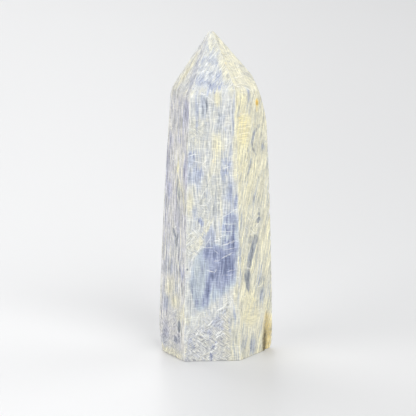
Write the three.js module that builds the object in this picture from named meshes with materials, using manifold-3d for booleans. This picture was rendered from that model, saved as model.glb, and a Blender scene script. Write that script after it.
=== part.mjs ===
// Kyanite point: a six-sided tower, cut and polished from one piece of bladed kyanite.
// Millimetres, +Z up. The origin is the middle of the base, and the front face looks towards -Y.

import * as THREE from "three";
import { ConvexGeometry } from "three/addons/geometries/ConvexGeometry.js";
import { mergeVertices } from "three/addons/utils/BufferGeometryUtils.js";
import Module from "manifold-3d";

// The height of the blunted apex over the base.
const HEIGHT = 80;

// Where the six tip facets would meet if the apex were sharp.
const SHARP_APEX = new THREE.Vector3(-1.1, 0, 80.9);

// The six upright edges, anticlockwise from above. Each runs from its corner of the base to its
// corner of the shoulder, where the tip facets begin.
const UPRIGHTS = {
  left: { foot: [-14.3, -0.3, 0], shoulder: [-10.9, -0.2, 66] },
  frontLeft: { foot: [-7.7, -11.6, 0], shoulder: [-6.3, -9.2, 65.6] },
  frontRight: { foot: [6.1, -10.8, 0], shoulder: [4.7, -8.5, 67.3] },
  right: { foot: [14.3, 1, 0], shoulder: [12.2, 0.8, 65.5] },
  backRight: { foot: [7.6, 11.6, 0], shoulder: [6.1, 9.2, 66.4] },
  backLeft: { foot: [-6.4, 11, 0], shoulder: [-5, 8.6, 64.8] },
};

// Hand lapping leaves the sides a little crowned: each upright edge bows out by this at mid-height.
const CROWN = 0.46;
const CROWN_STEPS = 4;

// Narrow flats ground on the left and right edges. A flat faces its direction, in degrees
// anticlockwise from +X. It lies at its reach from the axis at its height, and its lean is
// measured from upright, positive where it slopes inwards going up.
const EDGE_FLATS = [
  // Three, one over the other, ease the right shoulder.
  { direction: 3, reach: 12.45, height: 57.9, lean: 10.9 },
  { direction: 3, reach: 11.98, height: 60.4, lean: 15.6 },
  { direction: 3, reach: 10.74, height: 64.9, lean: 25 },
  // One takes the sharpness off the left shoulder.
  { direction: 181, reach: 10.95, height: 65, lean: 20.8 },
  // A steep chamfer undercuts the worn left corner of the base.
  { direction: 181, reach: 13.15, height: 0, lean: -7.6 },
  // A small chip is missing from the right corner of the base.
  { direction: 4, reach: 13.5, height: 0, lean: -19 },
];

// A thin flake has cleaved off beside the right edge. Its bed is sunk below the side at the base
// and runs out to nothing at its top. It starts this far from the side's left edge. Its own left
// edge leans to the right by some degrees, and its bed turns outwards by some more towards the
// right edge, which keeps nearly all of its stone.
const FLAKE = { start: 10.9, lean: 4.5, depth: 0.5, height: 8.6, turn: 5 };

// Longer than anything that is cut away.
const OVERSIZE = 60;

// Corners of a geometry that lie closer than this are one corner.
const WELD_DISTANCE = 1e-4;

const wasm = await Module();
wasm.setup();

function solidOf(geometry) {
  const bare = geometry.clone();
  bare.deleteAttribute("normal");
  bare.deleteAttribute("uv");
  const { attributes, index } = mergeVertices(bare, WELD_DISTANCE);
  const vertProperties = new Float32Array(attributes.position.array);
  const triVerts = new Uint32Array(index.array);
  return new wasm.Manifold(new wasm.Mesh({ numProp: 3, vertProperties, triVerts }));
}

// The faces stay unjoined, so that each one is shaded flat.
function geometryOf(solid) {
  const { vertProperties, triVerts } = solid.getMesh();
  const geometry = new THREE.BufferGeometry();
  geometry.setAttribute("position", new THREE.BufferAttribute(vertProperties, 3));
  geometry.setIndex(new THREE.BufferAttribute(triVerts, 1));
  return geometry.toNonIndexed();
}

// A point at each step up an upright edge, bowed away from the stone's axis.
function uprightPoints({ foot, shoulder }) {
  const [start, end] = [foot, shoulder].map((p) => new THREE.Vector3(...p));
  return Array.from({ length: CROWN_STEPS + 1 }, (_, i) => {
    const t = i / CROWN_STEPS;
    const point = new THREE.Vector3().lerpVectors(start, end, t);
    const outward = new THREE.Vector3(point.x, point.y, 0).normalize();
    return point.addScaledVector(outward, CROWN * 4 * t * (1 - t));
  });
}

// The tapered column with its tip still sharp.
function roughOut() {
  const points = Object.values(UPRIGHTS).flatMap(uprightPoints);
  return solidOf(new ConvexGeometry([...points, SHARP_APEX]));
}

// Grinds away all that lies beyond the plane through a point, as a flat lap does.
function grind(stone, through, outward) {
  const lap = new THREE.BoxGeometry(OVERSIZE, OVERSIZE, OVERSIZE);
  lap.translate(0, 0, OVERSIZE / 2);
  const turn = new THREE.Quaternion();
  turn.setFromUnitVectors(new THREE.Vector3(0, 0, 1), outward.clone().normalize());
  lap.applyQuaternion(turn);
  lap.translate(through.x, through.y, through.z);
  return stone.subtract(solidOf(lap));
}

// Grinds one flat on an upright edge.
function grindFlat(stone, { direction, reach, height, lean }) {
  const [turn, tilt] = [direction, lean].map(THREE.MathUtils.degToRad);
  const away = new THREE.Vector3(Math.cos(turn), Math.sin(turn), 0);
  const through = away.clone().multiplyScalar(reach).setZ(height);
  return grind(stone, through, away.multiplyScalar(Math.cos(tilt)).setZ(Math.sin(tilt)));
}

function bluntApex(stone) {
  return grind(stone, new THREE.Vector3(0, 0, HEIGHT), new THREE.Vector3(0, 0, 1));
}

// Splits the flake off the right-hand front side: a block whose lower face is the flake's bed.
function splitFlake(stone) {
  const { start, lean, depth, height, turn } = FLAKE;
  const [from, above] = uprightPoints(UPRIGHTS.frontRight);
  const across = new THREE.Vector3(...UPRIGHTS.right.foot).sub(from).normalize();
  const out = new THREE.Vector3().crossVectors(across, above.sub(from)).normalize();
  const up = new THREE.Vector3().crossVectors(out, across);
  const block = new THREE.BoxGeometry(OVERSIZE, OVERSIZE, OVERSIZE);
  block.translate(OVERSIZE / 2, 0, OVERSIZE / 2);
  block.rotateX(Math.atan2(depth, height));
  block.rotateY(-THREE.MathUtils.degToRad(turn));
  block.rotateZ(-THREE.MathUtils.degToRad(lean));
  const corner = from.clone().addScaledVector(across, start).addScaledVector(out, -depth);
  block.applyMatrix4(new THREE.Matrix4().makeBasis(across, up, out).setPosition(corner));
  return stone.subtract(solidOf(block));
}

function makeStone() {
  return splitFlake(EDGE_FLATS.reduce(grindFlat, bluntApex(roughOut())));
}

// Puts the middle of the base's box at the origin.
function centred(geometry) {
  geometry.computeBoundingBox();
  const middle = geometry.boundingBox.getCenter(new THREE.Vector3());
  return geometry.translate(-middle.x, -middle.y, -geometry.boundingBox.min.z);
}

const polishedKyanite = new THREE.MeshStandardMaterial({
  name: "polished kyanite",
  color: 0xc4c9d4,
  roughness: 0.3,
  metalness: 0,
});

const stoneMesh = new THREE.Mesh(centred(geometryOf(makeStone())), polishedKyanite);
stoneMesh.name = "kyanite_point";
stoneMesh.geometry.computeVertexNormals();

const kyanitePoint = new THREE.Group();
kyanitePoint.name = "kyanite point";
kyanitePoint.add(stoneMesh);

export default kyanitePoint;
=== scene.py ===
# %% [markdown]
# # A kyanite point
# The object is a six-sided tower, cut and polished from one piece of bladed kyanite. Its size comes
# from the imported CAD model, which stays hidden behind the detailed stone. Everything is in metres
# with Z up, but the shaping below thinks in millimetres, the unit of a hand-held stone.

# %% Load the frame
import math

import bpy
import numpy as np
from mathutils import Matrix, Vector


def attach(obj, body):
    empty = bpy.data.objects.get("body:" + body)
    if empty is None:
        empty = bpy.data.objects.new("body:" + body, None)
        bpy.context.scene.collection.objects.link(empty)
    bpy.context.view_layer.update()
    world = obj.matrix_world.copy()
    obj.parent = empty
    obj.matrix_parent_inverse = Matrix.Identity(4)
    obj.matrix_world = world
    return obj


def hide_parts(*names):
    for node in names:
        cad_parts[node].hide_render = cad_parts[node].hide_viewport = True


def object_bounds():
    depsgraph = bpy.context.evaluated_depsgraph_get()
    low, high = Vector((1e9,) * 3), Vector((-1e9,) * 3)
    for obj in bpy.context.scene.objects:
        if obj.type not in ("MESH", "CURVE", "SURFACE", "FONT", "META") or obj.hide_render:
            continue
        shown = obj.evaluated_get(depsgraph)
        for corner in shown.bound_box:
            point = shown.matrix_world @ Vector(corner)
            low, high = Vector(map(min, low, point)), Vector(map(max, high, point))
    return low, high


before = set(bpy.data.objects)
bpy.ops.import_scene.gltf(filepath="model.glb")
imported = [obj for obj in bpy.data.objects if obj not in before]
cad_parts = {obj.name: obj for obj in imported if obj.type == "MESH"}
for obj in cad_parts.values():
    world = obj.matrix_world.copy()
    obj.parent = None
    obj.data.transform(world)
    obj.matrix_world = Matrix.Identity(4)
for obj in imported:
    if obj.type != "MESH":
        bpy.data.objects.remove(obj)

MM = 0.001
cad_box = [[round(v, 7) for v in corner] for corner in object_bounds()]
cad_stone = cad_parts["kyanite_point"]
print("CAD box, metres:", cad_box)

# %% [markdown]
# ## Camera, floor and light
# A stone this small is looked at with a long lens from a little above. Colours of a pale mineral are
# easier to judge without a film-like curve, so the view is set to Standard.

# %% Camera
bpy.context.scene.view_settings.view_transform = "Standard"
camera_data = bpy.data.cameras.new("camera")
camera_data.lens = 207.69
camera_data.sensor_width = 36.0
camera = bpy.data.objects.new("camera", camera_data)
camera.location = (-0.0019, -0.57756, 0.16562)
camera.rotation_euler = (math.radians(77.35), 0.0, 0.0)
bpy.context.scene.collection.objects.link(camera)
bpy.context.scene.camera = camera
looks_down = 90 - math.degrees(camera.rotation_euler.x)
print("the camera has a lens of", camera_data.lens, "mm and looks down by", round(looks_down, 2), "degrees")


# %% [markdown]
# Shader maths reads best as ordinary sums, so one small class wraps the output of a shader node. Its
# operators add Math nodes, and its node method adds any other node.

# %% A node's output that can be used in sums
class Signal:
    """The output socket of a shader node."""

    def __init__(self, socket):
        self.socket = socket

    def node(self, kind, settings=None, inputs=None, output=0):
        """Adds a node to this signal's tree."""
        return add_node(self.socket.id_data, kind, settings, inputs, output)

    def math(self, operation, first, second):
        return self.node("ShaderNodeMath", {"operation": operation}, {0: first, 1: second})

    def __add__(self, other):
        return self.math("ADD", self, other)

    def __radd__(self, other):
        return self.math("ADD", other, self)

    def __sub__(self, other):
        return self.math("SUBTRACT", self, other)

    def __rsub__(self, other):
        return self.math("SUBTRACT", other, self)

    def __mul__(self, other):
        return self.math("MULTIPLY", self, other)

    def __rmul__(self, other):
        return self.math("MULTIPLY", other, self)


def add_node(tree, kind, settings=None, inputs=None, output=0):
    """Adds a node: its settings first, then its inputs, which are plain values or signals."""
    node = tree.nodes.new(kind)
    for name, value in (settings or {}).items():
        if name == "stops":
            stops = node.color_ramp.elements
            stops.remove(stops[1])
            for place, colour in value:
                stop = stops[0] if place == 0 else stops.new(place)
                stop.color = (*colour, 1.0)
        else:
            setattr(node, name, value)
    for name, value in (inputs or {}).items():
        if isinstance(value, Signal):
            tree.links.new(value.socket, node.inputs[name])
        else:
            node.inputs[name].default_value = value
    return Signal(node.outputs[output]) if node.outputs else None


# %% [markdown]
# The stone stands on a pale floor with a soft sheen. The floor runs far past the picture, so nothing
# but the stone has an edge, and it is only staged, because it is no part of the object.

# %% Floor
def new_material(name):
    """An empty node material and its tree."""
    material = bpy.data.materials.new(name)
    material.use_nodes = True
    material.node_tree.nodes.clear()
    return material, material.node_tree


def finish_material(tree, inputs):
    """A Principled shader wired to the surface. Plain inputs stay constants on their own sockets."""
    shader = add_node(tree, "ShaderNodeBsdfPrincipled", None, inputs)
    add_node(tree, "ShaderNodeOutputMaterial", None, {"Surface": shader})


HALF_FLOOR = 6.0
floor_mesh = bpy.data.meshes.new("floor")
floor_mesh.from_pydata(
    [(-HALF_FLOOR, -HALF_FLOOR, 0), (HALF_FLOOR, -HALF_FLOOR, 0),
     (HALF_FLOOR, HALF_FLOOR, 0), (-HALF_FLOOR, HALF_FLOOR, 0)],
    [], [(0, 1, 2, 3)])
floor = bpy.data.objects.new("floor", floor_mesh)
bpy.context.scene.collection.objects.link(floor)
floor_paint, floor_tree = new_material("pale floor")
finish_material(floor_tree, {"Base Color": (0.80, 0.80, 0.80, 1), "Roughness": 0.45})
floor_mesh.materials.append(floor_paint)
print("the floor is", 2 * HALF_FLOOR, "m wide")

# %% [markdown]
# Polished facets mirror the room, and small lamps would leave hard dots on them. Four large soft boxes
# and a pale, even sky show the colour of every side instead.

# %% Lights
MIDDLE_OF_STONE = Vector((0, 0, 0.04))


def soft_light(name, place, size, watts):
    """A square soft box that faces the middle of the stone."""
    data = bpy.data.lights.new(name, "AREA")
    data.size = size
    data.energy = watts
    light = bpy.data.objects.new(name, data)
    light.location = place
    towards = MIDDLE_OF_STONE - light.location
    light.rotation_euler = towards.to_track_quat("-Z", "Y").to_euler()
    bpy.context.scene.collection.objects.link(light)


soft_light("key", (0.40, -0.70, 0.60), 0.6, 5.2)
soft_light("fill", (-0.70, -0.45, 0.40), 0.7, 3.2)
soft_light("back", (-0.30, 0.75, 0.60), 0.8, 4.4)
soft_light("side", (0.75, 0.25, 0.35), 0.6, 1.9)

world = bpy.data.worlds.new("studio")
bpy.context.scene.world = world
world.use_nodes = True
sky = world.node_tree.nodes["Background"].inputs
sky["Color"].default_value = (0.83, 0.84, 0.86, 1)
sky["Strength"].default_value = 0.42
print("lights:", [(data.name, round(data.energy, 1)) for data in bpy.data.lights])


# %% [markdown]
# ## The shape of the stone
# A lap is a flat wheel, so a tower is the space behind a set of planes. The planes are measured from
# the CAD model's own faces. A plane that no corner pokes through is a lapped face. The two that have
# stone in front of them belong to the flake that split off at the foot.
#
# Real polished edges are not razor sharp. A soft maximum of the distances to all planes is a solid
# whose edges are rounded by a chosen amount, and it also melts the shallow creases of the crowned
# sides into smooth curves.

# %% The lapped planes
# Faces are one plane if the cosine between them is above the first number and they lie closer than the
# second, in mm. Slivers below the third, in square mm, are left out.
SAME_DIRECTION = 0.99999
SAME_REACH = 0.02
SMALLEST_FACE = 0.01


def face_planes(mesh):
    """Outward normals and distances from the origin, in mm, of the mesh's different planes."""
    normals, reaches = [], []
    for face in mesh.polygons:
        normal = np.array(face.normal)
        reach = float(normal @ np.array(face.center)) / MM
        known = any(n @ normal > SAME_DIRECTION and abs(r - reach) < SAME_REACH
                    for n, r in zip(normals, reaches))
        if face.area > SMALLEST_FACE * MM * MM and not known:
            normals.append(normal)
            reaches.append(reach)
    return np.array(normals), np.array(reaches)


# A corner further than this in front of a plane is stone, and not a rounding error.
IN_FRONT = 0.05
# The lap stops a little further out than the CAD faces, as much as softening and relief take off.
LAP_ROOM = 0.14

corners = np.array([v.co for v in cad_stone.data.vertices]) / MM
plane_normals, plane_reaches = face_planes(cad_stone.data)
poke = (corners @ plane_normals.T - plane_reaches).max(axis=0)
facing_up = plane_normals[:, 2]
underside = facing_up <= -0.9
lapped = (poke < IN_FRONT) & ~underside
split = poke >= IN_FRONT
steep = lapped & (np.abs(facing_up) < 0.5)
plane_reaches = plane_reaches + LAP_ROOM * steep
print(len(plane_normals), "planes:", int(lapped.sum()), "lapped,", int(split.sum()), "split")


# %% [markdown]
# The mesh is made by sending rays out of the middle of the stone and stopping each one at the soft
# solid. Columns of rays follow the six upright edges, so an edge never zigzags across the mesh. The
# edges run as in the CAD model: with a slight bow from foot to shoulder, and on to the apex.

# %% The upright edges
APEX = np.array([-1.1, 0.0, 80.9])
CROWN = 0.46
# The foot and the shoulder of each edge, anticlockwise from the left one.
UPRIGHTS = [
    ((-14.3, -0.3, 0), (-10.9, -0.2, 66)),
    ((-7.7, -11.6, 0), (-6.3, -9.2, 65.6)),
    ((6.1, -10.8, 0), (4.7, -8.5, 67.3)),
    ((14.3, 1, 0), (12.2, 0.8, 65.5)),
    ((7.6, 11.6, 0), (6.1, 9.2, 66.4)),
    ((-6.4, 11, 0), (-5, 8.6, 64.8)),
]


def upright_at(index, height):
    """Points on one upright edge, and above the shoulder on its tip edge, at an array of heights."""
    foot, shoulder = (np.array(p, float) for p in UPRIGHTS[index % 6])
    climb = np.clip(height / shoulder[2], 0, 1)[..., None]
    point = foot + (shoulder - foot) * climb
    outward = point * (1, 1, 0)
    outward /= np.linalg.norm(outward, axis=-1, keepdims=True)
    point = point + outward * CROWN * 4 * climb * (1 - climb)
    past_shoulder = np.clip((height - shoulder[2]) / (APEX[2] - shoulder[2]), 0, 1)[..., None]
    return point + (APEX - shoulder) * past_shoulder


# %% [markdown]
# Rows of rays are level up to a floor below the shoulder. From there they fan up to the apex, so that
# they meet the slanting tip facets more squarely. Columns crowd towards the upright edges, where the
# surface bends most.

# %% Where the rays leave and in which direction
PER_SIDE = 50
CROWDING = 0.45
FAN_FLOOR = 60.0
step = np.linspace(0, 1, PER_SIDE, endpoint=False)
share = np.tile(step - CROWDING * np.sin(2 * math.pi * step) / (2 * math.pi), 6)
column_side = np.repeat(np.arange(6), PER_SIDE)
print(len(share), "columns of rays")


def level_rays(heights):
    """Origins and level directions of the rays of each row, shaped rows × columns × 3."""
    origin = np.zeros((len(heights), 1, 3))
    origin[:, 0, 0] = APEX[0] * heights / FAN_FLOOR
    origin[:, 0, 2] = heights
    targets = np.empty((len(heights), len(share), 3))
    for side in range(6):
        here = column_side == side
        start = upright_at(side, heights)[:, None, :]
        end = upright_at(side + 1, heights)[:, None, :]
        targets[:, here] = start + (end - start) * share[here][None, :, None]
    heading = (targets - origin) * (1, 1, 0)
    heading /= np.linalg.norm(heading, axis=-1, keepdims=True)
    return np.broadcast_to(origin, heading.shape), heading


def fan_rays(outline):
    """Rays that leave one point and rise through (radius, height) pairs towards the apex."""
    origin, level = level_rays(np.array([FAN_FLOOR]))
    radius, height = np.array(outline).T
    angle = np.arctan2(height - FAN_FLOOR, radius)[:, None, None]
    heading = level * np.cos(angle) + np.array([0, 0, 1.0]) * np.sin(angle)
    return np.broadcast_to(origin, heading.shape), heading


# %% [markdown]
# A ray first runs to the nearest hard plane, and a few steps of Newton's method take it back to the
# soft solid. Where that lies in front of the flake's bed the stone is gone, and the ray stops at the
# bed instead.

# %% Stopping the rays at the soft solid
EDGE_SOFTNESS = 0.1
NEWTON_STEPS = 6
# A ray that closes in on a plane more slowly than this never meets it.
SLOWEST = 1e-6
NEVER = 1e9


def soft_distance(points):
    """Distance outside the lapped planes with softened edges, and how much each plane counts."""
    apart = (points @ plane_normals[lapped].T - plane_reaches[lapped]) / EDGE_SOFTNESS
    most = apart.max(axis=-1, keepdims=True)
    weight = np.exp(apart - most)
    total = weight.sum(axis=-1, keepdims=True)
    distance = EDGE_SOFTNESS * (most + np.log(total))[..., 0]
    return distance, weight / total


def approach(origin, heading, planes):
    """How fast each ray closes in on each of the planes, and its room at the start."""
    closing = heading @ plane_normals[planes].T
    room = plane_reaches[planes] - origin @ plane_normals[planes].T
    return closing, room


def meeting(closing, room, otherwise):
    """How far along a ray meets a plane that it closes in on, or the number given otherwise."""
    return np.where(closing > SLOWEST, room / np.maximum(closing, SLOWEST), otherwise)


def stop_rays(origin, heading):
    """The points where the rays leave the stone."""
    closing, room = approach(origin, heading, lapped)
    reach = meeting(closing, room, NEVER).min(axis=-1)
    for _ in range(NEWTON_STEPS):
        distance, weight = soft_distance(origin + heading * reach[..., None])
        reach = reach - distance / (weight * closing).sum(axis=-1)
    closing, room = approach(origin, heading, split)
    gone = (reach[..., None] * closing > room).all(axis=-1)
    to_bed = meeting(closing, room, -NEVER).max(axis=-1)
    reach = np.where(gone, np.minimum(reach, to_bed), reach)
    return origin + heading * reach[..., None]


# %% [markdown]
# The bottom edge is eased too, by a few rows that curve under it, and rings of points fill the base.
# Above the floor of the fan the rays rise through a rough outline of the stone: up the sides, in along
# the tip and over the blunt apex.

# %% The grid of points
# Millimetres from row to row, and how far in and up the base's edge is eased.
ROW = 0.3
BASE_EASE = 0.15
EASE_ROWS = 4
EASE_GAP = 0.2
easing = np.linspace(0, math.pi / 2, EASE_ROWS)
ease_heights = BASE_EASE * (1 - np.cos(easing))
side_heights = np.concatenate([ease_heights, np.arange(BASE_EASE + EASE_GAP, FAN_FLOOR, ROW)])
side_points = stop_rays(*level_rays(side_heights))
_, heading = level_rays(ease_heights)
side_points[:EASE_ROWS] -= heading * (BASE_EASE * (1 - np.sin(easing)))[:, None, None]

TIP_ROWS = 66
up_the_sides = [(11.0 - 0.05 * z, FAN_FLOOR + z) for z in np.arange(0, 5.9, ROW)]
along_the_tip = [(10.6 * (1 - s) + 0.35 * s, 66 + 14.0 * s) for s in np.linspace(0, 1, TIP_ROWS)]
over_the_apex = [(0.2, 80.0), (0.07, 80.0)]
tip_points = stop_rays(*fan_rays(up_the_sides + along_the_tip + over_the_apex))

BASE_ROWS = 24
rings = np.linspace(0, 1, BASE_ROWS + 2)[1:-1]
base_points = side_points[:1] * rings[:, None, None]
stone_points = np.concatenate([base_points, side_points, tip_points])
ROWS, COLUMNS = stone_points.shape[:2]
print(f"{ROWS} rows of {COLUMNS} points, from {stone_points.min(axis=(0, 1)).round(2)}",
      f"to {stone_points.max(axis=(0, 1)).round(2)}")


# %% [markdown]
# ## A map of each side
# Blades, cracks and stains are placed one by one, so every side needs a flat map in millimetres: across
# from the middle of the side, and up from the base. The third number keeps the sides apart, a hundred
# millimetres for each, so that a texture drawn on one never reaches the next. The shown sides are
# numbers 0 to 2, the back ones 3 to 5, and the base is number 6.

# %% Map coordinates of any point
SHOWN_SIDES = ["left", "front", "right"]
BASE_SIDE = 6
SPACING = 100.0
# The sides narrow to nothing at the apex, so a width never counts as less than this.
LEAST_WIDTH = 0.01


def side_map(points, side):
    """(across, up, side) of points that belong to one side, in mm."""
    third = np.full((*points.shape[:-1], 1), SPACING * side)
    if side == BASE_SIDE:
        return np.concatenate([points[..., :2], third], axis=-1)
    height = points[..., 2]
    start, end = upright_at(side, height), upright_at(side + 1, height)
    width = np.linalg.norm(end - start, axis=-1)
    along = ((points - start) * (end - start)).sum(axis=-1) / np.maximum(width, LEAST_WIDTH) ** 2
    across = (along - 0.5) * width
    return np.concatenate([np.stack([across, height], axis=-1), third], axis=-1)


# %% [markdown]
# ## What grew where
# Kyanite grows as bundles of flat blades. Clear blades look deep blue, cloudy ones pale grey, and
# between them run cream veins. Each spot is one soft ellipse: across, up, half its width, half its
# length, its lean to the right in degrees, and how much it changes the tone. Below zero is bluer and
# above zero is creamier.

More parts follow.
